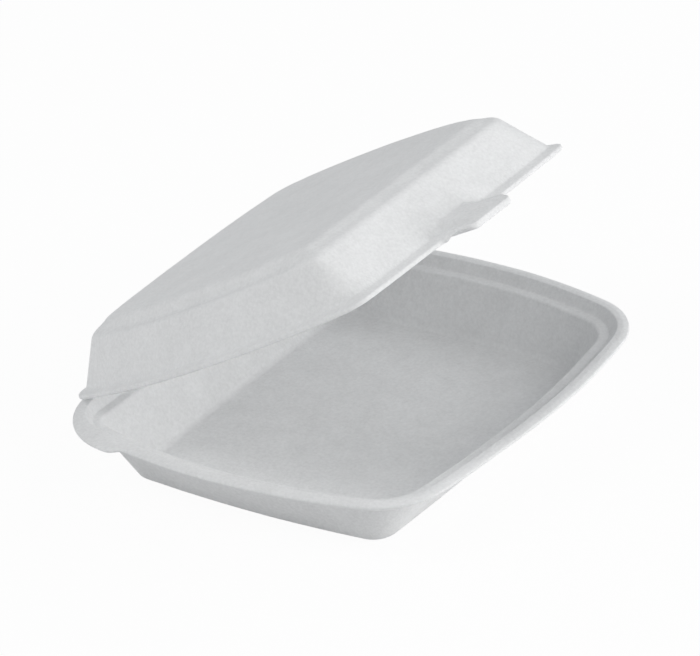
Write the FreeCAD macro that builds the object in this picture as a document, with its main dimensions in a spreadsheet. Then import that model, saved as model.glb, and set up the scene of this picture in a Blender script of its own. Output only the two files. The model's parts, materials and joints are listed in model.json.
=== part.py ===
import FreeCAD, Part
import math
import os
import Sketcher

# Foam clamshell food container
# A tray and a lid, each formed from foam sheet, meet along a crushed crease at the back.
# X runs along that crease, -Y is the front with the closing tongue and +Z is up.
# The origin is the middle of the plan, on the surface that the tray stands on.

doc = FreeCAD.newDocument("FoamClamshell")
sheet = doc.addObject("Spreadsheet::Sheet", "Sizes")

SIZES = [
    ("rim_length", 240.0, "tray rim, widest reach along the hinge direction"),
    ("rim_depth", 208.0, "tray rim, from the hinge to the foremost point"),
    ("end_arc_radius", 300.0, "plan radius of the two bowed ends of the rim"),
    ("front_arc_radius", 600.0, "plan radius of the bowed front of the rim"),
    ("widest_behind_centre", 5.0, "how far the widest section lies behind the centre"),
    ("rim_corner_radius", 37.0, "plan radius of the rim corners"),
    ("foam_thickness", 2.5, "foam in walls, floor and lid top"),
    ("flange_thickness", 2.2, "pressed flange and ledge"),
    ("flange_width", 5.8, "flat face of the flange"),
    ("step_run", 4.2, "horizontal run of the sloped upstand"),
    ("step_drop", 4.6, "height between the flange face and the ledge"),
    ("step_shift", 2.7, "outer face of the upstand outside its inner face, in plan"),
    ("ledge_width", 5.0, "flat ledge inside the upstand"),
    ("ear_radius", 41.5, "plan radius of the rounded ear at each hinge corner"),
    ("ear_reach", 119.5, "ear's outermost point from the middle"),
    ("ear_tail_length", 7.5, "slanted end of the ear, along the side"),
    ("ear_tail_depth", 8.0, "slanted end of the ear, in towards the wall"),
    ("ear_blank_overlap", 8.0, "how far the ear's blank runs in past its centre"),
    ("tray_height", 32.5, "rim face of the tray over the surface it stands on"),
    ("foot_end_inset", 28.5, "foot in from the rim at the two ends"),
    ("foot_front_inset", 34.8, "foot in from the rim at the front"),
    ("foot_back_inset", 31.1, "foot in from the rim at the hinge"),
    ("foot_end_arc_radius", 1000.0, "plan radius of the foot's ends"),
    ("foot_side_arc_radius", 2400.0, "plan radius of the foot's front and back"),
    ("foot_corner_radius", 10.0, "plan radius of the foot's corners"),
    ("foot_edge_run", 2.5, "horizontal run of the bevel under the foot's edge"),
    ("foot_edge_rise", 2.0, "height of the bevel under the foot's edge"),
    ("floor_cove_radius", 9.0, "cove between the floor and the walls"),
    ("lid_end_inset", 11.0, "lid rim in from the tray rim at the ends, inside the upstand"),
    ("lid_front_inset", 11.0, "lid rim in from the tray rim at the front, inside the upstand"),
    ("lid_end_arc_radius", 250.0, "plan radius of the lid rim's ends"),
    ("lid_front_arc_radius", 1300.0, "plan radius of the lid rim's front"),
    ("lid_corner_radius", 14.0, "plan radius of the lid rim's corners"),
    ("lid_flange_width", 5.0, "flat face of the lid's flange"),
    ("lid_height", 30.5, "lid from its rim face to the outside of its top"),
    ("shoulder_drop", 6.0, "raised panel over the shoulder round it"),
    ("shoulder_end_inset", 15.1, "wall's upper edge in from the lid rim at the ends"),
    ("shoulder_front_inset", 16.5, "wall's upper edge in from the lid rim at the front"),
    ("shoulder_back_inset", 14.7, "wall's upper edge in from the lid rim at the hinge"),
    ("shoulder_width", 4.5, "flat shoulder round the raised panel"),
    ("panel_edge_run", 4.0, "horizontal run of the raised panel's sloped edge"),
    ("lid_top_end_arc_radius", 370.0, "plan radius of the shoulder's ends"),
    ("lid_top_front_arc_radius", 2000.0, "plan radius of the shoulder's front"),
    ("lid_top_back_arc_radius", 680.0, "plan radius of the shoulder's back"),
    ("lid_top_corner_radius", 18.0, "plan radius of the shoulder's corners"),
    ("tongue_root_width", 46.0, "tongue where it leaves the rim"),
    ("tongue_tip_width", 31.0, "tongue at its outer edge"),
    ("tongue_reach", 15.5, "tongue beyond the lid rim"),
    ("tongue_root_inset", 12.0, "tongue's root in from the lid rim"),
    ("tongue_root_height", 7.4, "tongue's upper face over the rim face at its root"),
    ("tongue_tip_height", 2.4, "tongue's upper face over the rim face at its outer edge"),
    ("crease_half_gap", 0.4, "half of the crushed crease between the two rims"),
    ("rim_half_gap", 0.3, "half of the gap between the closed rim faces"),
    ("lid_open_angle", 28.4, "lid's opening angle as it stands"),
]

for row, (alias, amount, note) in enumerate(SIZES, start=1):
    sheet.set("A%d" % row, alias)
    sheet.set("B%d" % row, str(amount))
    sheet.setAlias("B%d" % row, alias)
    sheet.set("C%d" % row, note)
doc.recompute()


class Length:
    """A length in millimetres, with the sheet expression that gives it."""

    def __init__(self, value, text):
        self.value = float(value)
        self.text = text

    def combine(self, sign, other):
        if not isinstance(other, Length):
            other = Length(other, str(float(other)))
        values = {"+": self.value + other.value, "-": self.value - other.value}
        values["*"] = self.value * other.value
        return Length(values[sign], "(%s %s %s)" % (self.text, sign, other.text))

    def __add__(self, other):
        return self.combine("+", other)

    def __sub__(self, other):
        return self.combine("-", other)

    def __mul__(self, other):
        return self.combine("*", other)

    def __neg__(self):
        return Length(-self.value, "(0 - %s)" % self.text)


def given(alias):
    """The size of that name, as it stands in the sheet."""
    return Length(getattr(sheet, alias), "Sizes." + alias)


HALF = 0.5
NOTHING = Length(0.0, "0.0")
rim_length = given("rim_length")
rim_depth = given("rim_depth")
foam = given("foam_thickness")
flange = given("flange_thickness")
flange_width = given("flange_width")
step_run = given("step_run")
step_drop = given("step_drop")
step_shift = given("step_shift")
ledge_inset = flange_width + step_run + given("ledge_width")
crease = given("crease_half_gap")
clearance = given("rim_half_gap")
tray_height = given("tray_height")
lid_height = given("lid_height")


def origin_plane(body, role):
    """Origin plane of the body, found by its role."""
    for item in body.Origin.OriginFeatures:
        if item.Role == role:
            return item
    raise RuntimeError("no origin plane " + role)


def new_sketch(body, name, role, level):
    """Sketch on an origin plane of the body, moved along its normal by a length."""
    sketch = body.newObject("Sketcher::SketchObject", name)
    sketch.AttachmentSupport = [(origin_plane(body, role), "")]
    sketch.MapMode = "FlatFace"
    shift = FreeCAD.Vector(0, 0, level.value)
    sketch.AttachmentOffset = FreeCAD.Placement(shift, FreeCAD.Rotation())
    sketch.setExpression("AttachmentOffset.Base.z", level.text)
    return sketch


def drive(sketch, kind, where, length):
    """Dimension of a sketch bound to a length."""
    index = sketch.addConstraint(Sketcher.Constraint(kind, *where, length.value))
    sketch.setExpression("Constraints[%d]" % index, length.text)


def locate(sketch, kind, element, point, length):
    """Signed distance of a point from the sketch's origin along one axis."""
    if length.value >= 0:
        drive(sketch, kind, (-1, 1, element, point), length)
    else:
        drive(sketch, kind, (element, point, -1, 1), -length)


class Outline:
    """Bowed rectangle in plan: four sides, each straight or an arc, and round corners."""

    def __init__(self, hinge, end, front, back, ends, fronts, backs, corner):
        self.hinge = hinge
        self.end = end
        self.front = front
        self.back = back
        self.ends = ends
        self.fronts = fronts
        self.backs = backs
        self.corner = corner

    def inset(self, amount):
        """The same outline moved inwards on every side, concentric with this one."""
        backs = self.backs - amount if self.backs else None
        return Outline(self.hinge, self.end - amount, self.front + amount,
                       self.back - amount, self.ends - amount, self.fronts - amount,
                       backs, self.corner - amount)


def heading(centre, point):
    """Direction from one point to another, as an angle from 0 to a full turn."""
    return math.atan2(point.y - centre.y, point.x - centre.x) % (2 * math.pi)


def corner_centre(centre_a, radius_a, centre_b, radius_b):
    """Rightmost crossing of two circles, the centre of the corner arc between them."""
    gap = centre_b - centre_a
    along = (gap.Length ** 2 + radius_a ** 2 - radius_b ** 2) / (2 * gap.Length)
    off = math.sqrt(radius_a ** 2 - along ** 2)
    unit = gap * (1 / gap.Length)
    side = FreeCAD.Vector(-unit.y, unit.x, 0)
    base = centre_a + unit * along
    return max([base + side * off, base - side * off], key=lambda point: point.x)


def arc(centre, radius, start, stop):
    """Arc that runs counter-clockwise between two directions."""
    if stop < start:
        stop += 2 * math.pi
    circle = Part.Circle(centre, FreeCAD.Vector(0, 0, 1), radius)
    return Part.ArcOfCircle(circle, start, stop)


def draw(body, name, level, outline):
    """Sketch of an outline, every arc and side bound to the sheet."""
    sketch = new_sketch(body, name, "XY_Plane", level)
    middle = outline.hinge - rim_depth * HALF + given("widest_behind_centre")
    y_middle = middle.value
    y_back = outline.back.value
    r_end = outline.ends.value
    r_front = outline.fronts.value
    r_corner = outline.corner.value
    vector = FreeCAD.Vector
    front = vector(0, outline.front.value + r_front, 0)
    far = vector(outline.end.value - r_end, y_middle, 0)
    front_far = corner_centre(far, r_end - r_corner, front, r_front - r_corner)
    if outline.backs:
        r_back = outline.backs.value
        back = vector(0, y_back - r_back, 0)
        back_far = corner_centre(far, r_end - r_corner, back, r_back - r_corner)
        turn = heading(back, back_far)
        side = arc(back, r_back, turn, math.pi - turn)
    else:
        rise = y_back - r_corner - y_middle
        reach = math.sqrt((r_end - r_corner) ** 2 - rise ** 2)
        back_far = vector(far.x + reach, y_back - r_corner, 0)
        turn = math.pi / 2
        side = Part.LineSegment(vector(back_far.x, y_back, 0), vector(-back_far.x, y_back, 0))
    near = vector(-far.x, far.y, 0)
    front_near = vector(-front_far.x, front_far.y, 0)
    back_near = vector(-back_far.x, back_far.y, 0)
    low = heading(front, front_far)
    low_far = heading(far, front_far)
    high_far = heading(far, back_far)
    low_near = 3 * math.pi - low
    near_low = heading(near, front_near)
    near_high = heading(near, back_near)
    sketch.addGeometry([
        arc(front, r_front, low_near, low),
        arc(front_far, r_corner, low, low_far),
        arc(far, r_end, low_far, high_far),
        arc(back_far, r_corner, high_far, turn),
        side,
        arc(back_near, r_corner, math.pi - turn, near_high),
        arc(near, r_end, near_high, near_low),
        arc(front_near, r_corner, near_low, low_near),
    ], False)
    for index in range(8):
        joint = (index, 2, (index + 1) % 8, 1)
        sketch.addConstraint(Sketcher.Constraint("Tangent", *joint))
    sketch.addConstraint(Sketcher.Constraint("PointOnObject", 0, 3, -2))
    locate(sketch, "DistanceY", 0, 3, outline.front + outline.fronts)
    drive(sketch, "Radius", (0,), outline.fronts)
    locate(sketch, "DistanceX", 2, 3, outline.end - outline.ends)
    locate(sketch, "DistanceY", 2, 3, middle)
    drive(sketch, "Radius", (2,), outline.ends)
    locate(sketch, "DistanceX", 6, 3, outline.ends - outline.end)
    locate(sketch, "DistanceY", 6, 3, middle)
    drive(sketch, "Radius", (6,), outline.ends)
    if outline.backs:
        sketch.addConstraint(Sketcher.Constraint("PointOnObject", 4, 3, -2))
        locate(sketch, "DistanceY", 4, 3, outline.back - outline.backs)
        drive(sketch, "Radius", (4,), outline.backs)
    else:
        sketch.addConstraint(Sketcher.Constraint("Horizontal", 4))
        locate(sketch, "DistanceY", 4, 1, outline.back)
    for index in (1, 3, 5, 7):
        drive(sketch, "Radius", (index,), outline.corner)
    return sketch


def pad(body, name, sketch, height):
    """Pad of a sketch, upwards along its normal."""
    feature = body.newObject("PartDesign::Pad", name)
    feature.Profile = sketch
    feature.Length = height.value
    feature.setExpression("Length", height.text)
    return feature


def loft(body, kind, name, first, second):
    """Straight-sided loft between two outlines, adding or removing foam."""
    feature = body.newObject("PartDesign::%sLoft" % kind, name)
    feature.Profile = first
    feature.Sections = [second]
    feature.Ruled = True
    return feature


def round_level(body, name, level, radius, chosen=None):
    """Fillet of the edges that lie flat at one level of the body's own height."""
    doc.recompute()
    base = body.Tip
    near = 1e-3
    names = []
    for index, edge in enumerate(base.Shape.Edges, start=1):
        box = edge.BoundBox
        flat = abs(box.ZMin - level) < near and abs(box.ZMax - level) < near
        if flat and (chosen is None or chosen(edge)):
            names.append("Edge%d" % index)
    feature = body.newObject("PartDesign::Fillet", name)
    feature.Base = (base, names)
    feature.Radius = radius.value
    feature.setExpression("Radius", radius.text)
    return feature


def new_body(name):
    """Body whose name and label are the node's."""
    body = doc.addObject("PartDesign::Body", name)
    body.Label = name
    return body


# Tray
tray = new_body("tray")
tray_hinge = rim_depth * HALF
tray_rim = Outline(tray_hinge, rim_length * HALF, tray_hinge - rim_depth, tray_hinge - crease,
                   given("end_arc_radius"), given("front_arc_radius"), None,
                   given("rim_corner_radius"))
ledge_level = tray_height - step_drop

flange_sketch = draw(tray, "FlangeOutline", tray_height - flange, tray_rim)
pad(tray, "Flange", flange_sketch, flange)

# Ears: the flange swells out round the two hinge corners and ends in a slanted edge
ear_radius = given("ear_radius")
ear_reach = given("ear_reach")
ear_centre_x = ear_reach - ear_radius
ear_centre_y = tray_hinge - crease - ear_radius
tail_x = ear_reach - given("ear_tail_depth")
tail_y = ear_centre_y - given("ear_tail_length")
root_x = ear_centre_x - given("ear_blank_overlap")
for side, sign in (("Near", -1), ("Far", 1)):
    sketch = new_sketch(tray, "Ear%sOutline" % side, "XY_Plane", tray_height - flange)
    cx = sign * ear_centre_x.value
    cy = ear_centre_y.value
    radius = ear_radius.value
    vector = FreeCAD.Vector
    top = vector(cx, cy + radius, 0)
    outer = vector(cx + sign * radius, cy, 0)
    tail = vector(sign * tail_x.value, tail_y.value, 0)
    root = vector(sign * root_x.value, tail_y.value, 0)
    shoulder = vector(sign * root_x.value, top.y, 0)
    start, stop = (0, math.pi / 2) if sign > 0 else (math.pi / 2, math.pi)
    sketch.addGeometry([
        arc(vector(cx, cy, 0), radius, start, stop),
        Part.LineSegment(outer, tail),
        Part.LineSegment(tail, root),
        Part.LineSegment(root, shoulder),
        Part.LineSegment(shoulder, top),
    ], False)
    outer_end, top_end = (1, 2) if sign > 0 else (2, 1)
    for joint in ((0, outer_end, 1, 1), (1, 2, 2, 1), (2, 2, 3, 1), (3, 2, 4, 1),
                  (4, 2, 0, top_end)):
        sketch.addConstraint(Sketcher.Constraint("Coincident", *joint))
    sketch.addConstraint(Sketcher.Constraint("Horizontal", 2))
    sketch.addConstraint(Sketcher.Constraint("Vertical", 3))
    sketch.addConstraint(Sketcher.Constraint("Horizontal", 4))
    sketch.addConstraint(Sketcher.Constraint("Vertical", 0, top_end, 0, 3))
    sketch.addConstraint(Sketcher.Constraint("Horizontal", 0, outer_end, 0, 3))
    drive(sketch, "Radius", (0,), ear_radius)
    locate(sketch, "DistanceX", 0, 3, ear_centre_x * sign)
    locate(sketch, "DistanceY", 0, 3, ear_centre_y)
    locate(sketch, "DistanceX", 1, 2, tail_x * sign)
    locate(sketch, "DistanceY", 1, 2, tail_y)
    locate(sketch, "DistanceX", 3, 1, root_x * sign)
    pad(tray, "Ear" + side, sketch, flange)

step_outer = flange_width - step_shift
step_top = draw(tray, "StepTopOutline", tray_height - flange, tray_rim.inset(step_outer))
step_foot = draw(tray, "StepFootOutline", ledge_level - flange,
                 tray_rim.inset(step_outer + step_run))
loft(tray, "Additive", "Step", step_top, step_foot)

foot = Outline(tray_hinge, tray_rim.end - given("foot_end_inset"),
               tray_rim.front + given("foot_front_inset"),
               tray_rim.back - given("foot_back_inset"),
               given("foot_end_arc_radius"), given("foot_side_arc_radius"),
               given("foot_side_arc_radius"), given("foot_corner_radius"))
wall_top = draw(tray, "WallTopOutline", ledge_level - flange,
                tray_rim.inset(ledge_inset - foam))
wall_foot = draw(tray, "WallFootOutline", given("foot_edge_rise"),
                 foot.inset(-given("foot_edge_run")))
loft(tray, "Additive", "Wall", wall_top, wall_foot)
bevel_top = draw(tray, "BevelTopOutline", given("foot_edge_rise"),
                 foot.inset(-given("foot_edge_run")))
contact = draw(tray, "ContactOutline", NOTHING, foot)
loft(tray, "Additive", "FootEdge", bevel_top, contact)

recess_top = draw(tray, "RecessTopOutline", tray_height, tray_rim.inset(flange_width))
recess_foot = draw(tray, "RecessFootOutline", ledge_level,
                   tray_rim.inset(flange_width + step_run))
loft(tray, "Subtractive", "Recess", recess_top, recess_foot)
cavity_top = draw(tray, "CavityTopOutline", ledge_level, tray_rim.inset(ledge_inset))
floor = draw(tray, "FloorOutline", foam, foot)
loft(tray, "Subtractive", "Cavity", cavity_top, floor)
round_level(tray, "FloorCove", foam.value, given("floor_cove_radius"))

# Lid, drawn as it lies closed, with the hinge line as its own origin
lid = new_body("lid")
lid_rim = Outline(NOTHING, rim_length * HALF - given("lid_end_inset"),
                  given("lid_front_inset") - rim_depth, -crease,
                  given("lid_end_arc_radius"), given("lid_front_arc_radius"), None,
                  given("lid_corner_radius"))
lid_top = clearance + lid_height
shoulder_level = lid_top - given("shoulder_drop")
lid_wall_inset = given("lid_flange_width")

lid_flange = draw(lid, "LidFlangeOutline", clearance, lid_rim)
pad(lid, "LidFlange", lid_flange, flange)
shoulder = Outline(NOTHING, lid_rim.end - given("shoulder_end_inset"),
                   lid_rim.front + given("shoulder_front_inset"),
                   lid_rim.back - given("shoulder_back_inset"),
                   given("lid_top_end_arc_radius"), given("lid_top_front_arc_radius"),
                   given("lid_top_back_arc_radius"), given("lid_top_corner_radius"))
lid_wall_low = draw(lid, "LidWallLowOutline", clearance + flange,
                    lid_rim.inset(lid_wall_inset))
lid_wall_high = draw(lid, "LidWallHighOutline", shoulder_level, shoulder)
loft(lid, "Additive", "LidWall", lid_wall_low, lid_wall_high)

panel_low_inset = given("shoulder_width")
panel_high_inset = panel_low_inset + given("panel_edge_run")
panel_low = draw(lid, "PanelLowOutline", shoulder_level, shoulder.inset(panel_low_inset))
panel_high = draw(lid, "PanelHighOutline", lid_top, shoulder.inset(panel_high_inset))
loft(lid, "Additive", "Panel", panel_low, panel_high)


def tongue_sketch(name, distance, width, height):
    """Upright four-sided section across the tongue, bound to its sizes."""
    sketch = new_sketch(lid, name, "XZ_Plane", distance)
    x_half = width.value * HALF
    z_low = clearance.value
    z_high = z_low + height.value
    corners = [(-x_half, z_low), (x_half, z_low), (x_half, z_high), (-x_half, z_high)]
    points = [FreeCAD.Vector(x, z, 0) for x, z in corners]
    lines = [Part.LineSegment(points[i], points[(i + 1) % 4]) for i in range(4)]
    sketch.addGeometry(lines, False)
    for index in range(4):
        joint = (index, 2, (index + 1) % 4, 1)
        sketch.addConstraint(Sketcher.Constraint("Coincident", *joint))
    sketch.addConstraint(Sketcher.Constraint("Vertical", 1))
    sketch.addConstraint(Sketcher.Constraint("Horizontal", 2))
    sketch.addConstraint(Sketcher.Constraint("Vertical", 3))
    sketch.addConstraint(Sketcher.Constraint("Symmetric", 0, 1, 0, 2, -2))
    drive(sketch, "DistanceX", (0, 1, 0, 2), width)
    drive(sketch, "DistanceY", (1, 1, 1, 2), height)
    locate(sketch, "DistanceY", 0, 1, clearance)
    return sketch


# Tongue: wedge that grows out of the front ledge and tapers to its outer edge
tongue_root = tongue_sketch("TongueRoot", -lid_rim.front - given("tongue_root_inset"),
                            given("tongue_root_width"), given("tongue_root_height"))
tongue_tip = tongue_sketch("TongueTip", given("tongue_reach") - lid_rim.front,
                           given("tongue_tip_width"), given("tongue_tip_height"))
loft(lid, "Additive", "Tongue", tongue_root, tongue_tip)

lid_cavity_low = draw(lid, "LidCavityLowOutline", clearance,
                      lid_rim.inset(lid_wall_inset + foam * HALF))
lid_cavity_high = draw(lid, "LidCavityHighOutline", shoulder_level - foam,
                       shoulder.inset(foam * HALF))
loft(lid, "Subtractive", "LidCavity", lid_cavity_low, lid_cavity_high)
under_low = draw(lid, "UnderPanelLowOutline", shoulder_level - foam,
                 shoulder.inset(panel_low_inset + foam * HALF))
under_high = draw(lid, "UnderPanelHighOutline", lid_top - foam,
                  shoulder.inset(panel_high_inset + foam * HALF))
loft(lid, "Subtractive", "UnderPanel", under_low, under_high)

# The lid stands open about the hinge line
hinge_height = tray_height + clearance
lid.Placement = FreeCAD.Placement(
    FreeCAD.Vector(0, tray_hinge.value, hinge_height.value),
    FreeCAD.Rotation(FreeCAD.Vector(-1, 0, 0), sheet.lid_open_angle))
lid.setExpression("Placement.Base.y", tray_hinge.text)
lid.setExpression("Placement.Base.z", hinge_height.text)
lid.setExpression("Placement.Rotation.Angle", "Sizes.lid_open_angle")

doc.recompute()

faults = []
for item in doc.Objects:
    if "Invalid" in item.State or "Error" in item.State:
        faults.append(item.Name)
for body in (tray, lid):
    shape = body.Shape
    if shape.isNull() or not shape.isValid() or len(shape.Solids) != 1:
        faults.append(body.Label)
if faults:
    raise RuntimeError("not built soundly: " + ", ".join(faults))

os.makedirs("parts", exist_ok=True)
for body in (tray, lid):
    body.Shape.exportStep(os.path.join("parts", body.Label + ".step"))
    box = body.Shape.BoundBox
    print("%s: %.1f cm3, X %.1f..%.1f, Y %.1f..%.1f, Z %.1f..%.1f" % (
        body.Label, body.Shape.Volume / 1000, box.XMin, box.XMax, box.YMin, box.YMax,
        box.ZMin, box.ZMax))
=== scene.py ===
import json
import math

import bpy
import numpy as np
from bpy.props import FloatProperty, FloatVectorProperty, PointerProperty
from mathutils import Matrix, Vector, noise


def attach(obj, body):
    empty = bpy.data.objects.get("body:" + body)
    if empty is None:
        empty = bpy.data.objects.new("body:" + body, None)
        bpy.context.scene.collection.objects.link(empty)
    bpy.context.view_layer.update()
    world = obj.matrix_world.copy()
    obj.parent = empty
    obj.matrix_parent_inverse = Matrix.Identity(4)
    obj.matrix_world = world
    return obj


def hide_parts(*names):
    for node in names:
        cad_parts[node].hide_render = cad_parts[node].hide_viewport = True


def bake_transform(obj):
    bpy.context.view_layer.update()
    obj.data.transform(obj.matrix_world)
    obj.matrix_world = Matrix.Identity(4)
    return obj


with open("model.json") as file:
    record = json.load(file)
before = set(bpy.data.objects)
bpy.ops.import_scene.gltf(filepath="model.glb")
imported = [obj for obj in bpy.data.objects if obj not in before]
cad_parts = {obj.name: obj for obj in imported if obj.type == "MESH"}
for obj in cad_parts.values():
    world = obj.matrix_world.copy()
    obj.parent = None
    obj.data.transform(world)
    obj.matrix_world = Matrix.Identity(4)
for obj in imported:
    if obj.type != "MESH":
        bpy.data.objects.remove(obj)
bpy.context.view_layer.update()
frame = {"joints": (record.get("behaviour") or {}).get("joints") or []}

bl_info = {
    "name": "Foam Clamshell Container",
    "version": (1, 0, 0),
    "blender": (4, 5, 0),
    "location": "3D View > Sidebar > Foam Clamshell",
    "description": "Hinged foam food container: tray, lid with tongue, crushed crease and stage",
    "category": "Object",
}

HINGE = frame["joints"][0]["pos_m"]

# The mould's hollows stay the same on every run
MOULD_SEED = 7

# The set that one container took from heat and stacking, in metres
FRONT_DROOP = 0.0014
FAR_FRONT_SAG = 0.0026
FAR_BACK_SAG = 0.0012
TOP_LEAN = 0.0009
NEAR_BACK_SPREAD = 0.0010
TRAY_FRONT_BOW = 0.0018

# Crushed crease, from the middle of the hinge to each end
CREASE_REACH = 0.0795
CREASE_STATIONS = 61

# The ear starts this far along each end, and its stretch has closer stations
EAR_FROM = 0.78
EAR_STRETCH = 0.22
EAR_SEARCH_MM = 60.0
EAR_ROUNDING = 0.0018

# Bit of the front edge beside the tongue that turns into it
TONGUE_FILLET = 0.006

# Corner radii of the lid's rings in millimetres: far front, far hinge, near hinge, near front
LID_CORNERS = {
    "wall_low": (13, 7, 7, 20),
    "wall_high": (20, 18, 10, 7),
    "inner_low": (12, 6, 6, 18.5),
    "inner_high": (19, 17, 9, 6),
    "over_low": (17, 16, 9, 6),
    "over_high": (17, 16, 10, 5),
    "over_wide": (14, 13, 7, 3),
    "under_low": (16, 15, 8, 5.5),
    "under_high": (16, 15, 9, 5),
    "under_wide": (13, 12, 6, 3),
}

# Camera as fitted to the photograph, in degrees and metres
CAMERA_AZIMUTH = -144.29
CAMERA_RISE = 28.28
CAMERA_ROLL = -4.66
CAMERA_DISTANCE = 2.62619
CAMERA_TARGET = (0.04952, 0.03931, 0.020)
FOCAL_PIXELS = 5368.37
FRAME_PIXELS = 700.0
SENSOR_WIDTH = 36.0

# Lamps: name, azimuth and rise in degrees, power in watts, colour
LAMP_TARGET = (0.0, 0.0, 0.05)
LAMP_DISTANCE = 2.2
LAMP_SIZE = 1.0
LAMPS = (
    ("key_lamp", -69.3, 12.0, 12.5, (1.0, 0.995, 0.99)),
    ("low_lamp", -44.3, 12.0, 6.4, (1.0, 0.995, 0.99)),
    ("front_lamp", -99.3, 38.0, 7.6, (1.0, 0.985, 0.95)),
    ("side_lamp", 143.0, 46.0, 12.5, (1.0, 0.995, 0.985)),
    ("back_lamp", -9.3, 38.0, 5.0, (0.97, 0.985, 1.0)),
)

FLOOR_SIDE = 6.0
FLOOR_CELLS = 24
FLOOR_HEIGHT = -0.0002
FLOOR_GLOW = 1.0
FLOOR_GLOW_SHARE = 0.95
AIR_COLOUR = (0.96, 0.98, 1.0, 1.0)
AIR_STRENGTH = 0.41
WHITE = (1.0, 1.0, 1.0, 1.0)


def length(name, default, description):
    """Size in metres that a user can change."""
    return FloatProperty(name=name, description=description, default=default,
                         unit="LENGTH", precision=4)


class FoamTraySizes(bpy.types.PropertyGroup):
    """Sizes of the tray"""
    rim_length: length("Rim length", 0.240, "Widest reach of the rim along the hinge")
    rim_depth: length("Rim depth", 0.208, "Rim from the hinge to the foremost point")
    end_radius: length("End arc", 0.300, "Plan radius of the bowed ends")
    front_radius: length("Front arc", 0.600, "Plan radius of the bowed front")
    widest_behind: length("Widest point", 0.005, "Widest section behind the centre")
    corner_radius: length("Corner radius", 0.037, "Plan radius of the rim corners")
    height: length("Height", 0.0325, "Rim face over the surface it stands on")
    foam: length("Foam", 0.0025, "Thickness of walls and floor")
    flange: length("Pressed rim", 0.0022, "Thickness of the flange and ledge")
    flange_width: length("Flange width", 0.0058, "Face of the flange")
    step_run: length("Upstand run", 0.0042, "Horizontal run of the upstand")
    step_drop: length("Upstand drop", 0.0046, "Flange face over the ledge")
    step_shift: length("Upstand shift", 0.0027, "Outer face outside the inner face")
    ledge_width: length("Ledge width", 0.0050, "Flat ledge inside the upstand")
    ear_radius: length("Ear radius", 0.0415, "Plan radius of the ear at each hinge corner")
    ear_reach: length("Ear reach", 0.1195, "Outermost point of the ear from the middle")
    ear_tail_length: length("Ear tail length", 0.0075, "Slanted end of the ear, along the side")
    ear_tail_depth: length("Ear tail depth", 0.0080, "Slanted end of the ear, inwards")
    foot_end_inset: length("Foot inset, ends", 0.0285, "Foot in from the rim at the ends")
    foot_front_inset: length("Foot inset, front", 0.0348, "Foot in from the rim at the front")
    foot_back_inset: length("Foot inset, hinge", 0.0311, "Foot in from the rim at the hinge")
    foot_end_radius: length("Foot end arc", 1.000, "Plan radius of the foot's ends")
    foot_side_radius: length("Foot side arc", 2.400, "Plan radius of the foot's long sides")
    foot_corner_radius: length("Foot corner", 0.010, "Plan radius of the foot's corners")
    cove_radius: length("Floor cove", 0.0042, "Cove between floor and walls")


class FoamLidSizes(bpy.types.PropertyGroup):
    """Sizes of the lid and its tongue"""
    end_inset: length("Inset, ends", 0.011, "Lid rim in from the tray rim at the ends")
    front_inset: length("Inset, front", 0.011, "Lid rim in from the tray rim at the front")
    end_radius: length("End arc", 0.250, "Plan radius of the lid rim's ends")
    front_radius: length("Front arc", 1.300, "Plan radius of the lid rim's front")
    corner_radius: length("Corner radius", 0.014, "Plan radius of the lid rim's corners")
    flange_width: length("Flange width", 0.005, "Face of the lid's flange")
    height: length("Height", 0.0305, "Rim face to the outside of the top")
    shoulder_drop: length("Panel height", 0.006, "Raised panel over the shoulder")
    shoulder_end_inset: length("Shoulder inset, ends", 0.0151, "Shoulder in from the lid rim")
    shoulder_front_inset: length("Shoulder inset, front", 0.0165, "Shoulder in from the lid rim")
    shoulder_back_inset: length("Shoulder inset, hinge", 0.0147, "Shoulder in from the lid rim")
    shoulder_width: length("Shoulder width", 0.0045, "Flat shoulder round the panel")
    panel_run: length("Panel edge run", 0.004, "Horizontal run of the panel's sloped edge")
    top_end_radius: length("Top end arc", 0.370, "Plan radius of the shoulder's ends")
    top_front_radius: length("Top front arc", 2.000, "Plan radius of the shoulder's front")
    top_back_radius: length("Top back arc", 0.680, "Plan radius of the shoulder's back")
    top_corner_radius: length("Top corner", 0.018, "Plan radius of the shoulder's corners")
    crease: length("Crease", 0.0004, "Half of the crushed crease between the rims")
    clearance: length("Clearance", 0.0003, "Half of the gap between the closed rim faces")
    tongue_root: length("Tongue root", 0.046, "Width of the tongue at the rim")
    tongue_tip: length("Tongue tip", 0.031, "Width of the tongue at its outer edge")
    tongue_reach: length("Tongue reach", 0.0160, "Tongue beyond the lid rim")
    tongue_rise: length("Tongue rise", 0.0074, "Tongue over the rim face inside the wall")
    tongue_fall: length("Tongue edge", 0.0024, "Tongue over the rim face at its outer edge")
    tongue_start: length("Tongue start", 0.012, "Tongue's root in from the lid rim")
    open_angle: FloatProperty(name="Opening", description="Opening angle of the lid as it stands",
                              default=math.radians(28.4), subtype="ANGLE")


class FoamLook(bpy.types.PropertyGroup):
    """Colours of the foam and of the stage"""
    foam_colour: FloatVectorProperty(
        name="Foam", description="Colour of the foam skin", subtype="COLOR",
        default=(0.87, 0.875, 0.88), min=0.0, max=1.0)
    floor_colour: FloatVectorProperty(
        name="Floor", description="Colour of the floor and backdrop", subtype="COLOR",
        default=(0.90, 0.90, 0.90), min=0.0, max=1.0)


# Plan outlines

def corner_centre(first, radius, second, other):
    """Rightmost crossing of two circles, the centre of the corner arc between them."""
    gap = second - first
    apart = gap.length
    along = (apart ** 2 + radius ** 2 - other ** 2) / (2 * apart)
    off = math.sqrt(radius ** 2 - along ** 2)
    unit = gap / apart
    side = Vector((-unit.y, unit.x))
    base = first + unit * along
    return max([base + side * off, base - side * off], key=lambda point: point.x)


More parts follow.
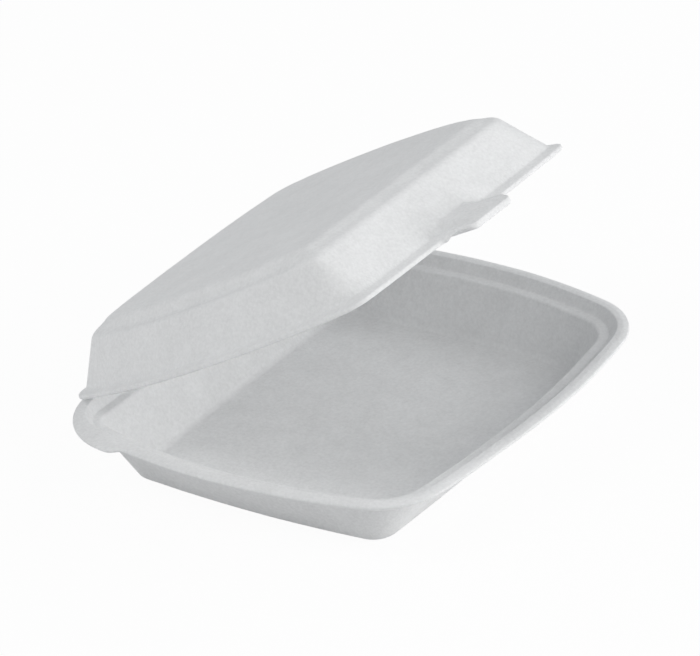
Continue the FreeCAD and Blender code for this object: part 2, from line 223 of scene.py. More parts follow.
def smooth(value):
    """Eases a share from 0 to 1 at both ends."""
    return value * value * (3 - 2 * value)


def heading(centre, point):
    """Direction from one point to another, from 0 to a full turn."""
    return math.atan2(point.y - centre.y, point.x - centre.x) % (2 * math.pi)


class Outline:
    """Bowed rectangle in plan: four bowed sides and round corners, walked from the front."""

    def __init__(self, front, back, end, fronts, ends, backs, corner, middle):
        self.front = front
        self.back = back
        self.end = end
        self.fronts = fronts
        self.ends = ends
        self.backs = backs
        self.corner = corner
        self.middle = middle

    def inset(self, amount):
        """The same outline moved inwards on every side."""
        backs = self.backs - amount if self.backs else None
        return Outline(self.front + amount, self.back - amount, self.end - amount,
                       self.fronts - amount, self.ends - amount, backs,
                       self.corner - amount, self.middle)

    def cornered(self, radius):
        """The same outline with other corners."""
        return Outline(self.front, self.back, self.end, self.fronts, self.ends, self.backs,
                       radius, self.middle)

    def arcs(self):
        """Centre, radius, start and stop of the eight pieces; the straight back has no centre."""
        reach = self.ends - self.corner
        front = Vector((0.0, self.front + self.fronts))
        far = Vector((self.end - self.ends, self.middle))
        front_far = corner_centre(far, reach, front, self.fronts - self.corner)
        if self.backs:
            back = Vector((0.0, self.back - self.backs))
            back_far = corner_centre(far, reach, back, self.backs - self.corner)
            turn = heading(back, back_far)
            side = (back, self.backs, turn, math.pi - turn)
        else:
            rise = self.back - self.corner - self.middle
            back_far = Vector((far.x + math.sqrt(reach ** 2 - rise ** 2),
                               self.back - self.corner))
            turn = math.pi / 2
            side = (None, self.back, back_far.x, -back_far.x)
        near, front_near, back_near = [Vector((-p.x, p.y)) for p in (far, front_far, back_far)]
        low = heading(front, front_far)
        low_far = heading(far, front_far)
        high_far = heading(far, back_far)
        near_high = heading(near, back_near)
        near_low = heading(near, front_near)
        low_near = 3 * math.pi - low
        pieces = [
            (front, self.fronts, low_near, low),
            (front_far, self.corner, low, low_far),
            (far, self.ends, low_far, high_far),
            (back_far, self.corner, high_far, turn),
            side,
            (back_near, self.corner, math.pi - turn, near_high),
            (near, self.ends, near_high, near_low),
            (front_near, self.corner, near_low, low_near),
        ]
        turned = []
        for centre, radius, start, stop in pieces:
            if centre is not None and stop < start:
                stop += 2 * math.pi
            turned.append((centre, radius, start, stop))
        return turned

    def walk(self, stations):
        """Points and outward directions at stations, each a piece and a fraction along it."""
        pieces = self.arcs()
        points = np.zeros((len(stations), 2))
        outward = np.zeros((len(stations), 2))
        for row, (index, fraction) in enumerate(stations):
            centre, radius, start, stop = pieces[index]
            at = start + (stop - start) * fraction
            if centre is None:
                points[row] = (at, radius)
                outward[row] = (0.0, 1.0)
            else:
                outward[row] = (math.cos(at), math.sin(at))
                points[row] = (centre.x + radius * outward[row][0],
                               centre.y + radius * outward[row][1])
        return points, outward


def spread(counts, dense=None):
    """Stations along the eight pieces of an outline, with given fractions for some pieces."""
    stations = []
    for index, count in enumerate(counts):
        chosen = (dense or {}).get(index)
        fractions = chosen if chosen is not None else [k / count for k in range(count)]
        stations += [(index, fraction) for fraction in fractions]
    return stations


def corner_shares(stations):
    """Share of each corner at each station, in the order of the walk; it fades along the sides."""
    shares = np.zeros((len(stations), 4))
    for row, (index, fraction) in enumerate(stations):
        if index % 2:
            shares[row, index // 2] = 1.0
        else:
            ease = smooth(fraction)
            shares[row, index // 2] = ease
            shares[row, index // 2 - 1] = 1 - ease
    return shares


def shaped(outline, stations, shares, corners):
    """Plan points of an outline whose four corners have radii of their own."""
    points = np.zeros((len(stations), 2))
    for k, radius in enumerate(corners):
        points += outline.cornered(radius).walk(stations)[0] * shares[:, k:k + 1]
    return points


def level(points, height):
    """Plan points lifted to a height, which is one number or one for each point."""
    return np.column_stack([points, np.broadcast_to(height, len(points))])


# Moulded skins

def bend(before, corner, after, radius, steps):
    """Points of the arc that rounds a corner at every station."""
    back = before - corner
    ahead = after - corner
    back_length = np.linalg.norm(back, axis=1, keepdims=True)
    ahead_length = np.linalg.norm(ahead, axis=1, keepdims=True)
    back = back / np.maximum(back_length, 1e-9)
    ahead = ahead / np.maximum(ahead_length, 1e-9)
    cosine = np.clip(np.sum(back * ahead, axis=1, keepdims=True), -0.9999, 0.9999)
    half = np.arccos(cosine) / 2
    # The arc leaves room for the one at the next corner
    room = np.minimum(back_length, ahead_length) * 0.46
    cut = np.minimum(radius / np.tan(half), room)
    weight = np.sin(half)
    first = corner + back * cut
    last = corner + ahead * cut
    rows = []
    for k in range(steps + 1):
        t = k / steps
        a, b, c = (1 - t) ** 2, 2 * t * (1 - t) * weight, t * t
        rows.append((a * first + b * corner + c * last) / (a + b + c))
    return rows


def skin_rows(rings, spacing=0.005):
    """Rows of points from a list of (corner points, radius), with the corners rounded."""
    rows = [rings[0][0]]
    for k in range(1, len(rings) - 1):
        corner, radius = rings[k]
        # A larger round gets more steps
        widest = float(np.max(radius))
        steps = 4 if widest < 0.0012 else 6 if widest < 0.003 else 10
        rows += bend(rings[k - 1][0], corner, rings[k + 1][0], radius, steps)
    rows.append(rings[-1][0])
    # Flat stretches get rows too, close to both of their ends so that the shading stays flat
    filled = [rows[0]]
    for row in rows[1:]:
        gap = float(np.mean(np.linalg.norm(row - filled[-1], axis=1)))
        start = filled[-1]
        if gap > 0.0022:
            cuts = [0.12, 0.5, 0.88]
            if gap > spacing * 2:
                count = int(gap / spacing)
                cuts = [0.05] + [k / count for k in range(1, count)] + [0.95]
            filled += [start + (row - start) * cut for cut in cuts]
        filled.append(row)
    return filled


def cap_rows(ring, middle):
    """Rows that close a ring towards a middle point, from the middle outwards."""
    shares = (0.03, 0.1, 0.2, 0.32, 0.45, 0.58, 0.7, 0.8, 0.88, 0.95)
    return [middle + (ring - middle) * share for share in shares]


def mesh_from(name, rows):
    """Closed skin through rows of stations, with a small face at each end."""
    count = len(rows[0])
    points = np.concatenate(rows)
    faces = []
    for row in range(len(rows) - 1):
        low, high = row * count, (row + 1) * count
        for k in range(count):
            following = (k + 1) % count
            faces.append((low + k, low + following, high + following, high + k))
    faces.append(tuple(reversed(range(count))))
    last = (len(rows) - 1) * count
    faces.append(tuple(range(last, last + count)))
    mesh = bpy.data.meshes.new(name)
    mesh.from_pydata([tuple(point) for point in points], [], faces)
    mesh.update()
    mesh.shade_smooth()
    return mesh


def soften(mesh, depth, width, shift):
    """Shallow uneven hollows, as foam sheet takes from the mould; both faces move together."""
    noise.seed_set(MOULD_SEED)
    for vertex in mesh.vertices:
        at = vertex.co / width + Vector(shift)
        slow = noise.noise_vector(at)
        quick = noise.noise_vector(at * 2.7)
        vertex.co += (slow + quick * 0.35) * depth
    mesh.update()


def place(name, mesh, material):
    """Object of a mesh in the scene, with its finish."""
    thing = bpy.data.objects.new(name, mesh)
    bpy.context.scene.collection.objects.link(thing)
    mesh.materials.append(material)
    return thing


# Finishes

class Shade:
    """Output of a node that takes part in plain arithmetic."""

    def __init__(self, finish, socket):
        self.finish = finish
        self.socket = socket

    def work(self, operation, first, second):
        """Math node of one operation on two values."""
        return self.finish.node("ShaderNodeMath", "Value", {"operation": operation},
                                {0: first, 1: second})

    def __add__(self, other):
        return self.work("ADD", self, other)

    def __radd__(self, other):
        return self.work("ADD", other, self)

    def __sub__(self, other):
        return self.work("SUBTRACT", self, other)

    def __rsub__(self, other):
        return self.work("SUBTRACT", other, self)

    def __mul__(self, other):
        return self.work("MULTIPLY", self, other)

    def __rmul__(self, other):
        return self.work("MULTIPLY", other, self)


class Finish:
    """Node tree of a material or a world, built one node at a time."""

    def __init__(self, owner):
        owner.use_nodes = True
        self.owner = owner
        self.tree = owner.node_tree
        self.tree.nodes.clear()

    def node(self, kind, output, settings=None, inputs=None):
        """Node of a type, its settings made first, then its sockets; gives one output."""
        made = self.tree.nodes.new(kind)
        for key, setting in (settings or {}).items():
            if key == "stops":
                for place_at, colour in setting:
                    near = [e for e in made.color_ramp.elements
                            if abs(e.position - place_at) < 1e-4]
                    stop = near[0] if near else made.color_ramp.elements.new(place_at)
                    stop.color = colour
            else:
                setattr(made, key, setting)
        for key, value in (inputs or {}).items():
            if isinstance(value, Shade):
                self.tree.links.new(value.socket, made.inputs[key])
            else:
                made.inputs[key].default_value = value
        return Shade(self, made.outputs[output]) if output is not None else None


def foam_finish(name, colour):
    """Foam skin: closed cells, faint clouding and a dull satin face."""
    finish = Finish(bpy.data.materials.new(name))
    place_at = finish.node("ShaderNodeTexCoord", "Object")
    cells = finish.node("ShaderNodeTexVoronoi", "Distance",
                        {"feature": "SMOOTH_F1", "voronoi_dimensions": "3D"},
                        {"Vector": place_at, "Scale": 820.0, "Smoothness": 0.6})
    grain = finish.node("ShaderNodeTexNoise", "Fac", {"noise_dimensions": "3D"},
                        {"Vector": place_at, "Scale": 520.0, "Detail": 3.0, "Roughness": 0.6})
    clouds = finish.node("ShaderNodeTexNoise", "Fac", {"noise_dimensions": "3D"},
                         {"Vector": place_at, "Scale": 70.0, "Detail": 3.0, "Roughness": 0.55})
    broad = finish.node("ShaderNodeTexNoise", "Fac", {"noise_dimensions": "3D"},
                        {"Vector": place_at, "Scale": 14.0, "Detail": 2.0, "Roughness": 0.5})
    depth = (1.0 - cells) * 0.14 + grain * 0.46 + clouds * 0.28 + broad * 0.12
    deep = [part * 0.86 for part in colour]
    pale = [min(1.0, part * 1.04) for part in colour]
    tint = finish.node("ShaderNodeValToRGB", "Color",
                       {"stops": [(0.0, (*deep, 1.0)), (1.0, (*pale, 1.0))]},
                       {"Fac": (depth - 0.30) * 2.4})
    roughness = clouds * 0.14 + grain * 0.10 + 0.42
    height = (1.0 - cells) * 0.6 + grain * 0.7 + clouds * 1.2
    relief = finish.node("ShaderNodeBump", "Normal", None,
                         {"Height": height, "Strength": 0.35, "Distance": 0.00035})
    surface = finish.node("ShaderNodeBsdfPrincipled", "BSDF", None,
                          {"Base Color": tint, "Roughness": roughness, "Normal": relief,
                           "IOR": 1.45, "Specular IOR Level": 0.35})
    finish.node("ShaderNodeOutputMaterial", None, None, {"Surface": surface})
    return finish.owner


def foam_material():
    """The one foam finish that every piece shares."""
    found = bpy.data.materials.get("foam_skin")
    colour = tuple(bpy.context.scene.foam_look.foam_colour)
    return found or foam_finish("foam_skin", colour)


# Pieces

def tray_rim_outline(sizes, crease):
    """Outer edge of the tray's flange."""
    half = sizes.rim_depth / 2
    return Outline(half - sizes.rim_depth, half - crease, sizes.rim_length / 2,
                   sizes.front_radius, sizes.end_radius, None, sizes.corner_radius,
                   sizes.widest_behind)


def ear_spread(sizes, crease, points, outward):
    """How far the flange swells outwards at each station, to the ear's edge.

    The ear is a quarter disc round the hinge corner and a slanted tail along the end.
    """
    centre_x = sizes.ear_reach - sizes.ear_radius
    centre_y = sizes.rim_depth / 2 - crease - sizes.ear_radius
    tail = np.array((sizes.ear_reach - sizes.ear_tail_depth, centre_y - sizes.ear_tail_length))
    outer = np.array((sizes.ear_reach, centre_y))
    along = np.linspace(0.0, EAR_SEARCH_MM, 1201) / 1000
    swell = np.zeros(len(points))
    for k, (point, way) in enumerate(zip(points, outward)):
        start = np.array((abs(point[0]), point[1]))
        ray = np.array((abs(way[0]), way[1]))
        reach = start + ray * along[:, None]
        off = reach - np.array((centre_x, centre_y))
        round_part = (np.hypot(off[:, 0], off[:, 1]) <= sizes.ear_radius) & (off[:, 0] >= 0)
        round_part &= off[:, 1] >= 0
        slant = (reach[:, 0] - tail[0]) / (outer[0] - tail[0])
        slant = slant * (outer[1] - tail[1]) + tail[1]
        tail_part = (off[:, 1] < 0) & (reach[:, 1] >= slant) & (reach[:, 1] >= tail[1])
        tail_part &= reach[:, 0] <= outer[0]
        inside = round_part | tail_part
        if inside[0]:
            swell[k] = along[np.argmin(inside)] if not inside.all() else 0.0
    # The ear's edge is rounded by a mean over the stations near by
    steps = np.linalg.norm(points - np.roll(points, 1, axis=0), axis=1)
    travel = np.cumsum(steps)
    total = travel[-1]
    rounded = np.zeros_like(swell)
    for k in range(len(swell)):
        gap = np.abs(travel - travel[k])
        gap = np.minimum(gap, total - gap)
        weight = np.exp(-(gap / EAR_ROUNDING) ** 2) * steps
        rounded[k] = np.sum(weight * swell) / np.sum(weight)
    return rounded


def tray_mesh(sizes, crease):
    """Tray as one skin: underside, wall, stepped rim with ears, ledge, cavity and floor."""
    rim = tray_rim_outline(sizes, crease)
    far_end = [EAR_FROM * k / 20 for k in range(20)]
    far_end += [EAR_FROM + EAR_STRETCH * k / 26 for k in range(26)]
    near_end = [0.0] + [1 - fraction for fraction in reversed(far_end[1:])]
    stations = spread((34, 16, 0, 18, 30, 18, 0, 16), {2: far_end, 6: near_end})
    shares = corner_shares(stations)
    edge, outward = rim.walk(stations)
    swell = ear_spread(sizes, crease, edge, outward)[:, None] * outward
    edge = edge + swell
    foot = Outline(rim.front + sizes.foot_front_inset, rim.back - sizes.foot_back_inset,
                   rim.end - sizes.foot_end_inset, sizes.foot_side_radius,
                   sizes.foot_end_radius, sizes.foot_side_radius, sizes.foot_corner_radius,
                   sizes.widest_behind)
    top = sizes.height
    ledge = top - sizes.step_drop
    ledge_inset = sizes.flange_width + sizes.step_run + sizes.ledge_width
    step_outer = sizes.flange_width - sizes.step_shift

    def ring(outline, height, hinge_corner=None):
        """Ring of the skin, with a radius of its own for the two hinge corners."""
        own = outline.corner
        back = hinge_corner or own
        return level(shaped(outline, stations, shares, (own, back, back, own)), height)

    under = ring(foot.inset(0.007), 0.0)
    floor = ring(foot.inset(0.0075), sizes.foam)
    # From the foot up the outside, over the rim and down the inside, each with its rounding
    rings = [
        (under, 0.0),
        (ring(foot.inset(-0.00136), 0.0), 0.0050),
        (ring(rim.inset(ledge_inset - sizes.foam), ledge - sizes.flange, 0.010), 0.0018),
        (ring(rim.inset(step_outer + sizes.step_run), ledge - sizes.flange, 0.019), 0.0018),
        (ring(rim.inset(step_outer), top - sizes.flange, 0.028), 0.0014),
        (level(edge, top - sizes.flange), 0.0008),
        (level(edge, top - 0.0006), 0.0010),
        (level(rim.inset(0.0030).walk(stations)[0] + swell * 0.5, top), 0.0060),
        (ring(rim.inset(sizes.flange_width), top, 0.0245), 0.0011),
        (ring(rim.inset(sizes.flange_width + sizes.step_run), ledge, 0.0160), 0.0013),
        (ring(rim.inset(ledge_inset), ledge, 0.0075), 0.0020),
        (ring(foot, sizes.foam), sizes.cove_radius),
        (floor, 0.0),
    ]
    rows = skin_rows(rings)
    middle = np.array((0.0, sizes.widest_behind))
    below = cap_rows(under, np.array((*middle, 0.0)))
    above = cap_rows(floor, np.array((*middle, sizes.foam)))
    return mesh_from("foam_tray", below + rows + above[::-1])


def tongue_outline(sizes, front, half, count):
    """Edge of the tongue in plan from one root to the other, with soft corners."""
    tip = sizes.tongue_tip / 2
    edge = half + TONGUE_FILLET
    outer = front - sizes.tongue_reach
    corners = np.array([(-edge, front), (-half, front), (-tip, outer),
                        (tip, outer), (half, front), (edge, front)])
    path = [corners[0]]
    for k, radius in ((1, 0.0030), (2, 0.0034), (3, 0.0034), (4, 0.0030)):
        rows = bend(corners[k - 1][None], corners[k][None], corners[k + 1][None], radius, 8)
        path += [row[0] for row in rows]
    path = np.array(path + [corners[-1]])
    steps = np.linalg.norm(np.diff(path, axis=0), axis=1)
    travel = np.concatenate([[0.0], np.cumsum(steps)])
    wanted = np.linspace(0.0, travel[-1], count)
    return np.column_stack([np.interp(wanted, travel, path[:, 0]),
                            np.interp(wanted, travel, path[:, 1])])


def lid_mesh(sizes, tray):
    """Lid as one skin, drawn closed from the hinge line, with the tongue drawn out of its rim."""
    rim = Outline(sizes.front_inset - tray.rim_depth, -sizes.crease,
                  tray.rim_length / 2 - sizes.end_inset, sizes.front_radius,
                  sizes.end_radius, None, sizes.corner_radius,
                  tray.widest_behind - tray.rim_depth / 2)
    shoulder = Outline(rim.front + sizes.shoulder_front_inset,
                       rim.back - sizes.shoulder_back_inset,
                       rim.end - sizes.shoulder_end_inset, sizes.top_front_radius,
                       sizes.top_end_radius, sizes.top_back_radius, sizes.top_corner_radius,
                       rim.middle)
    half = sizes.tongue_root / 2
    radius, start, stop = rim.arcs()[0][1:]
    turn = (stop - start) / 2

    def share(x):
        """Fraction along the front at a distance from the middle."""
        return 0.5 + math.asin(x / radius) / (2 * turn)

    marks = (-radius * math.sin(turn), -half - TONGUE_FILLET, -half + 0.0002, -half + 0.0022)
    across = []
    for start_x, stop_x, count in zip(marks, marks[1:], (15, 7, 9)):
        across += list(np.linspace(start_x, stop_x, count)[:-1])
    across += list(np.linspace(marks[-1], 0.0, 10))
    across += [-x for x in reversed(across[:-1])]
    plan_x = np.array(across[:-1])
    stations = spread((0, 14, 28, 14, 34, 14, 28, 14), {0: [share(x) for x in plan_x]})
    edge = rim.walk(stations)[0]
    within = np.where(np.abs(plan_x) <= half + TONGUE_FILLET)[0]
    drawn = tongue_outline(sizes, float(rim.front), half, len(within))
    bow = edge[within, 1] - rim.front
    edge[within] = drawn + np.column_stack([np.zeros(len(bow)), bow])

    # rise: 1 on the tongue; out: 1 at its outer edge; lip: its turned-down edge; root: wall above
    rise = np.zeros(len(stations))
    out = np.clip((rim.front - edge[:, 1]) / sizes.tongue_reach, 0.0, 1.0)
    out[len(plan_x):] = 0.0
    inside = np.clip((half + 0.0006 - np.abs(plan_x)) / 0.0016, 0.0, 1.0)
    rise[:len(plan_x)] = smooth(inside)
    rise *= np.clip(out / 0.5, 0.0, 1.0) ** 0.7
    lip = np.clip((out - 0.88) / 0.10, 0.0, 1.0)
    narrow = np.clip((sizes.tongue_root * 0.31 - np.abs(plan_x)) / 0.0030, 0.0, 1.0)
    root = np.zeros(len(stations))
    root[:len(plan_x)] = smooth(narrow)
    slope = (sizes.tongue_rise - sizes.tongue_fall) / (sizes.tongue_reach + sizes.tongue_start)
    shares = corner_shares(stations)
    droop = FRONT_DROOP * (shares[:, 0] + shares[:, 3])

    low = sizes.clearance
    flange = tray.flange
    top = low + sizes.height
    high = top - sizes.shoulder_drop
    plateau = low + sizes.tongue_fall + slope * sizes.tongue_reach * (1 - out)
    edge_top = (low + flange - droop) * (1 - rise) + (plateau - droop * 0.5) * rise
    at_wall = low + sizes.tongue_rise - slope * (sizes.tongue_start - 0.007)
    climb = (at_wall - low - flange) / (high - low - flange)
    # The step round the panel is clear at the two ends and nearly lost along front and hinge
    ends = np.array([np.sin(np.pi * min(max(f, 0.0), 1.0)) ** 0.5 if index in (2, 6) else 0.0
                     for index, f in stations])
    step = (0.12 + 0.88 * ends)[:, None]

    def ring(outline, height, name):
        """Ring of the skin at a height, with its own four corners."""
        radii = [corner / 1000 for corner in LID_CORNERS[name]]
        return level(shaped(outline, stations, shares, radii), height)

    foam = tray.foam
    panel = sizes.shoulder_width
    panel_top = panel + sizes.panel_run
    wide = panel_top + 0.005

    # Outer wall and, inside it, the foam's other face
    wall_low = ring(rim.inset(sizes.flange_width), low + flange + 0.0006, "wall_low")
    wall_high = ring(shoulder, high, "wall_high")
    wall_low = wall_low + (wall_high - wall_low) * (climb * root)[:, None]
    inner_low = ring(rim.inset(sizes.flange_width + foam / 2), low, "inner_low")
    inner_high = ring(shoulder.inset(foam / 2), high - foam, "inner_high")
    inner_low = inner_low + (inner_high - inner_low) * (climb * 0.92 * root)[:, None]

    # Raised panel with its step
    under_high = ring(shoulder.inset(panel_top + foam / 2), top - foam, "under_high")
    over_high = ring(shoulder.inset(panel_top), top, "over_high")
    under_wide = ring(shoulder.inset(wide + foam / 2), top - foam, "under_wide")
    over_wide = ring(shoulder.inset(wide), top, "over_wide")
    under_high = under_high * step + under_wide * (1 - step)
    over_high = over_high * step + over_wide * (1 - step)
    lift = 0.26 * (1 - step)
    wall_high = wall_high + (over_high - wall_high) * lift
    inner_high = inner_high + (under_high - inner_high) * lift
    under_low = ring(shoulder.inset(panel + foam / 2), high - foam, "under_low")
    over_low = ring(shoulder.inset(panel), high, "over_low")
    under_low = under_low * step + (inner_high + under_high) / 2 * (1 - step)
    over_low = over_low * step + (wall_high + over_high) / 2 * (1 - step)

    centre_line = (0.0, (shoulder.front + shoulder.back) / 2)
    pivot = np.array((*centre_line, 0.0))
    inwards = (0.93, 0.93, 1.0)
    under_edge = (under_high - pivot) * inwards + pivot
    over_edge = (over_high - pivot) * inwards + pivot
    soft = 0.0026 + 0.0120 * (1 - step)
    edge_low = edge_top - flange * (1 - 0.35 * rise * (1 - lip)) - 0.0012 * lip
    # From the inside of the top down to the rim, over its edge and up the outside
    rows = skin_rows([
        (under_edge, 0.0),
        (under_high, soft),
        (under_low, soft),
        (inner_high, soft),
        (inner_low, 0.0016),
        (level(edge, edge_low), 0.0008),
        (level(edge, edge_top), 0.0010),
        (wall_low, 0.0022),
        (wall_high, 0.0026 + 0.0060 * (1 - step)),
        (over_low, soft),
        (over_high, soft + 0.0010),
        (over_edge, 0.0),
    ])
    below = cap_rows(under_edge, np.array((*centre_line, top - foam)))
    above = cap_rows(over_edge, np.array((*centre_line, top)))
    return mesh_from("foam_lid", below + rows + above[::-1])


def settle_lid(mesh, sizes, tray):
    """The lid's own set: its far corners sag a little and its near hinge corner stands out."""
    reach = tray.rim_length / 2 - sizes.end_inset
    depth = tray.rim_depth - sizes.front_inset
    for vertex in mesh.vertices:
        across = vertex.co.x / reach
        out = min(max(-vertex.co.y / depth, 0.0), 1.0)
        far = max(across, 0.0)
        height = min(max(vertex.co.z / sizes.height, 0.0), 1.0)
        vertex.co.z -= FAR_FRONT_SAG * far ** 3 * out ** 3 * height
        vertex.co.z -= FAR_BACK_SAG * far ** 3 * (1 - out) ** 3 * height
        vertex.co.y += TOP_LEAN * (1 - out) ** 2 * height
        vertex.co.x -= NEAR_BACK_SPREAD * max(-across, 0.0) ** 4 * (1 - out) ** 3
    mesh.update()


def settle_tray(mesh, sizes):
    """The tray's own set: the front of the rim bows out a little more towards the far end."""
    front = sizes.rim_depth / 2
    for vertex in mesh.vertices:
        out = min(max(-vertex.co.y / front, 0.0), 1.0)
        along = min(max((vertex.co.x + 0.035) / 0.155, 0.0), 1.0)
        lift = min(max(vertex.co.z / sizes.height, 0.0), 1.0)
        vertex.co.y -= TRAY_FRONT_BOW * math.sin(math.pi * along) * out ** 4 * lift
    mesh.update()


def swing(mesh, angle):
    """Turns a closed lid about the hinge line to the angle at which it stands."""
    turn = Matrix.Rotation(-angle, 4, "X")
    mesh.transform(Matrix.Translation(Vector(HINGE)) @ turn)


class FOAM_OT_tray(bpy.types.Operator):
    """Make the tray with its stepped rim and ears"""
    bl_idname = "foam.tray"
    bl_label = "Make Tray"

    def execute(self, context):
        scene = context.scene
        mesh = tray_mesh(scene.foam_tray, scene.foam_lid.crease)
        settle_tray(mesh, scene.foam_tray)
        soften(mesh, 0.00022, 0.045, (3.1, 0.4, 7.7))
        tray = place("foam_tray", mesh, foam_material())
        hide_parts("tray")
        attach(tray, "tray")
        return {"FINISHED"}


class FOAM_OT_lid(bpy.types.Operator):
    """Make the lid with its raised panel and tongue"""
    bl_idname = "foam.lid"
    bl_label = "Make Lid"

    def execute(self, context):
        scene = context.scene
        mesh = lid_mesh(scene.foam_lid, scene.foam_tray)
        settle_lid(mesh, scene.foam_lid, scene.foam_tray)
        soften(mesh, 0.00026, 0.050, (9.3, 2.6, 1.2))
        swing(mesh, scene.foam_lid.open_angle)
        lid = place("foam_lid", mesh, foam_material())
        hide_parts("lid")
        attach(lid, "lid")
        return {"FINISHED"}


class FOAM_OT_crease(bpy.types.Operator):
    """Make the crushed foam along the hinge that joins tray and lid"""
    bl_idname = "foam.crease"
    bl_label = "Make Crease"

    def execute(self, context):
        scene = context.scene
        tray = scene.foam_tray
        lid = scene.foam_lid
        angle = lid.open_angle
        hinge = np.array((HINGE[1], HINGE[2]))

        def on_lid(y, z):
            """Point of the closed lid's section, turned with the lid."""
            return hinge + np.array((y * math.cos(angle) + z * math.sin(angle),
                                     z * math.cos(angle) - y * math.sin(angle)))

        back = tray.rim_depth / 2 - lid.crease
        top = tray.height
        def on_tray(y, z):
            """Point of the section measured from the tray's back edge and rim face."""
            return np.array((back + y, top + z))

        outer = [on_tray(-0.0020, -0.0017), on_tray(-0.0004, -0.0016),
                 on_tray(0.0004, -0.0006), hinge + np.array((0.0005, 0.0)),
                 on_lid(0.0001, 0.0009), on_lid(-0.0008, 0.0019), on_lid(-0.0024, 0.0020)]
        inner = [on_tray(-0.0020, -0.0004), on_tray(-0.0012, -0.0004),
                 on_tray(-0.0008, -0.0001), hinge + np.array((-0.0007, 0.0)),
                 on_lid(-0.0012, 0.0004), on_lid(-0.0016, 0.0007), on_lid(-0.0024, 0.0007)]
        section = outer + inner[::-1]
        points = []
        count = CREASE_STATIONS
        for k in range(count):
            x = -CREASE_REACH + 2 * CREASE_REACH * k / (count - 1)
            crush = 1 + 0.10 * noise.noise(Vector((x * 90, 0.3, 0.7)))
            for y, z in section:
                off = (np.array((y, z)) - hinge) * crush + hinge
                points.append((x, off[0], off[1]))
        size = len(section)
        faces = []
        for k in range(count - 1):
            for j in range(size):
                following = (j + 1) % size
                faces.append((k * size + j, (k + 1) * size + j, (k + 1) * size + following,
                              k * size + following))
        faces.append(tuple(range(size)))
        faces.append(tuple(reversed(range((count - 1) * size, count * size))))
        mesh = bpy.data.meshes.new("foam_crease")
        mesh.from_pydata(points, [], faces)
        mesh.update()
        mesh.shade_smooth()
        crease = place("foam_crease", mesh, foam_material())
        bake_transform(crease)
        return {"FINISHED"}


# Stage

def stage_finish(name, colour, glow, share):
    """Pale floor that reads as white to the camera and still keeps a soft shadow."""
    finish = Finish(bpy.data.materials.new(name))
    place_at = finish.node("ShaderNodeTexCoord", "Object")
    mottle = finish.node("ShaderNodeTexNoise", "Fac", None,
                         {"Vector": place_at, "Scale": 9.0, "Detail": 2.0})
    pale = [min(1.0, part * 1.01) for part in colour]
    deep = [part * 0.99 for part in colour]
    tint = finish.node("ShaderNodeValToRGB", "Color",
                       {"stops": [(0.0, (*deep, 1.0)), (1.0, (*pale, 1.0))]}, {"Fac": mottle})
    plain = finish.node("ShaderNodeBsdfDiffuse", "BSDF", None, {"Color": tint})
    white = finish.node("ShaderNodeEmission", "Emission", None,
                        {"Color": WHITE, "Strength": glow})
    seen = finish.node("ShaderNodeMixShader", "Shader", None,
                       {0: share, 1: plain, 2: white})
    by_eye = finish.node("ShaderNodeLightPath", "Is Camera Ray")
    by_gloss = finish.node("ShaderNodeLightPath", "Is Glossy Ray")
    by_glass = finish.node("ShaderNodeLightPath", "Is Transmission Ray")
    mixed = finish.node("ShaderNodeMixShader", "Shader", None,
                        {0: by_eye + by_gloss + by_glass, 1: plain, 2: seen})
    finish.node("ShaderNodeOutputMaterial", None, None, {"Surface": mixed})
    return finish.owner


def direction(azimuth, rise):
    """Unit vector towards a place given by its azimuth and rise in degrees."""
    around = math.radians(azimuth)
    above = math.radians(rise)
    return Vector((math.cos(above) * math.cos(around),
                   math.cos(above) * math.sin(around), math.sin(above)))


def lamp(name, azimuth, rise, power, colour):
    """Large square lamp that faces the container."""
    light = bpy.data.lights.new(name, "AREA")
    light.shape = "SQUARE"
    light.size = LAMP_SIZE
    light.energy = power
    light.color = colour
    thing = bpy.data.objects.new(name, light)
    bpy.context.scene.collection.objects.link(thing)
    target = Vector(LAMP_TARGET)
    thing.location = target + direction(azimuth, rise) * LAMP_DISTANCE
    aim = target - thing.location
    thing.rotation_euler = aim.to_track_quat("-Z", "Y").to_euler()


def floor_mesh():
    """Flat square floor in cells."""
    row = FLOOR_CELLS + 1
    points = [(FLOOR_SIDE * (i / FLOOR_CELLS - 0.5), FLOOR_SIDE * (j / FLOOR_CELLS - 0.5),
               FLOOR_HEIGHT) for j in range(row) for i in range(row)]
    faces = [(j * row + i, j * row + i + 1, (j + 1) * row + i + 1, (j + 1) * row + i)
             for j in range(FLOOR_CELLS) for i in range(FLOOR_CELLS)]
    mesh = bpy.data.meshes.new("stage_floor")
    mesh.from_pydata(points, [], faces)
    mesh.update()
    return mesh


def light_world(scene):
    """Soft sky light, which the camera sees as plain white."""
    world = bpy.data.worlds.new("stage_world")
    scene.world = world
    sky = Finish(world)
    air = sky.node("ShaderNodeBackground", "Background", None,
                   {"Color": AIR_COLOUR, "Strength": AIR_STRENGTH})
    white = sky.node("ShaderNodeBackground", "Background", None,
                     {"Color": WHITE, "Strength": 1.0})
    by_eye = sky.node("ShaderNodeLightPath", "Is Camera Ray")
    mixed = sky.node("ShaderNodeMixShader", "Shader", None, {0: by_eye, 1: air, 2: white})
    sky.node("ShaderNodeOutputWorld", None, None, {"Surface": mixed})


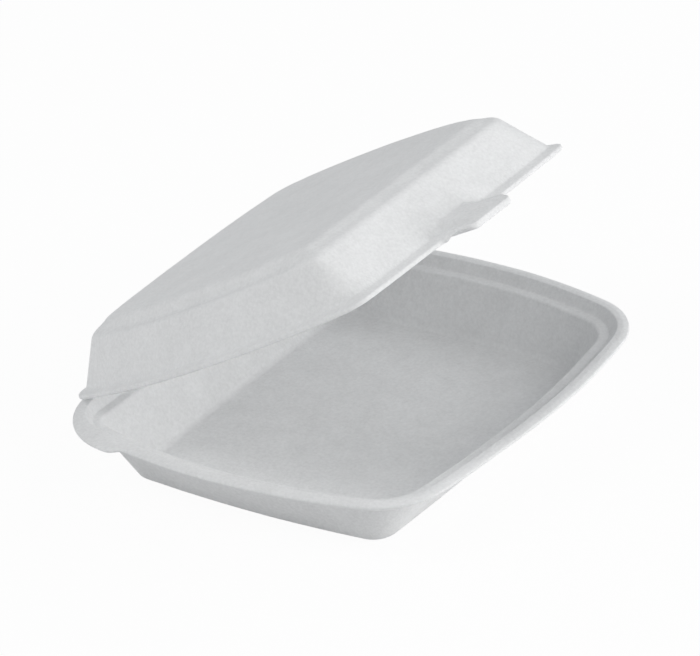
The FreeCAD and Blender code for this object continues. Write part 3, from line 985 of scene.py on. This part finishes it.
def place_camera(scene):
    """Camera at the photograph's viewing angle."""
    view = bpy.data.cameras.new("view_camera")
    view.sensor_fit = "HORIZONTAL"
    view.sensor_width = SENSOR_WIDTH
    view.lens = FOCAL_PIXELS * SENSOR_WIDTH / FRAME_PIXELS
    view.clip_end = 50.0
    camera = bpy.data.objects.new("view_camera", view)
    scene.collection.objects.link(camera)
    away = direction(CAMERA_AZIMUTH, CAMERA_RISE)
    roll = math.radians(CAMERA_ROLL)
    right = (-away).cross(Vector((0.0, 0.0, 1.0))).normalized()
    up = right.cross(-away)
    turned_right = right * math.cos(roll) + up * math.sin(roll)
    turned_up = up * math.cos(roll) - right * math.sin(roll)
    pose = Matrix((turned_right, turned_up, away)).transposed().to_4x4()
    pose.translation = Vector(CAMERA_TARGET) + away * CAMERA_DISTANCE
    camera.matrix_world = pose
    scene.camera = camera


class FOAM_OT_stage(bpy.types.Operator):
    """Make the floor, the soft lamps and the camera"""
    bl_idname = "foam.stage"
    bl_label = "Make Stage"

    def execute(self, context):
        scene = context.scene
        colour = tuple(scene.foam_look.floor_colour)
        paper = stage_finish("stage_paper", colour, FLOOR_GLOW, FLOOR_GLOW_SHARE)
        floor = place("stage_floor", floor_mesh(), paper)
        light_world(scene)
        for name, azimuth, rise, power, tint in LAMPS:
            lamp(name, azimuth, rise, power, tint)
        place_camera(scene)
        scene.view_settings.view_transform = "Standard"
        return {"FINISHED"}


class FOAM_PT_panel(bpy.types.Panel):
    """Sizes, colours and makers of the container"""
    bl_label = "Foam Clamshell"
    bl_idname = "FOAM_PT_panel"
    bl_space_type = "VIEW_3D"
    bl_region_type = "UI"
    bl_category = "Foam Clamshell"

    def draw(self, context):
        layout = self.layout
        for group in (context.scene.foam_tray, context.scene.foam_lid, context.scene.foam_look):
            box = layout.box()
            for name in group.bl_rna.properties.keys():
                if name not in ("rna_type", "name"):
                    box.prop(group, name)
        for maker in MAKERS:
            layout.operator(maker.bl_idname)


GROUPS = (FoamTraySizes, FoamLidSizes, FoamLook)
MAKERS = (FOAM_OT_tray, FOAM_OT_lid, FOAM_OT_crease, FOAM_OT_stage)
CLASSES = GROUPS + MAKERS + (FOAM_PT_panel,)


def register():
    """Adds the classes and the sizes that the panel shows."""
    for item in CLASSES:
        bpy.utils.register_class(item)
    bpy.types.Scene.foam_tray = PointerProperty(type=FoamTraySizes)
    bpy.types.Scene.foam_lid = PointerProperty(type=FoamLidSizes)
    bpy.types.Scene.foam_look = PointerProperty(type=FoamLook)


def unregister():
    """Takes the classes and the sizes away again."""
    del bpy.types.Scene.foam_look
    del bpy.types.Scene.foam_lid
    del bpy.types.Scene.foam_tray
    for item in reversed(CLASSES):
        bpy.utils.unregister_class(item)


def main():
    """Makes the stage and the pieces."""
    register()
    bpy.ops.foam.stage()
    bpy.ops.foam.tray()
    bpy.ops.foam.lid()
    bpy.ops.foam.crease()


if __name__ == "__main__":
    main()
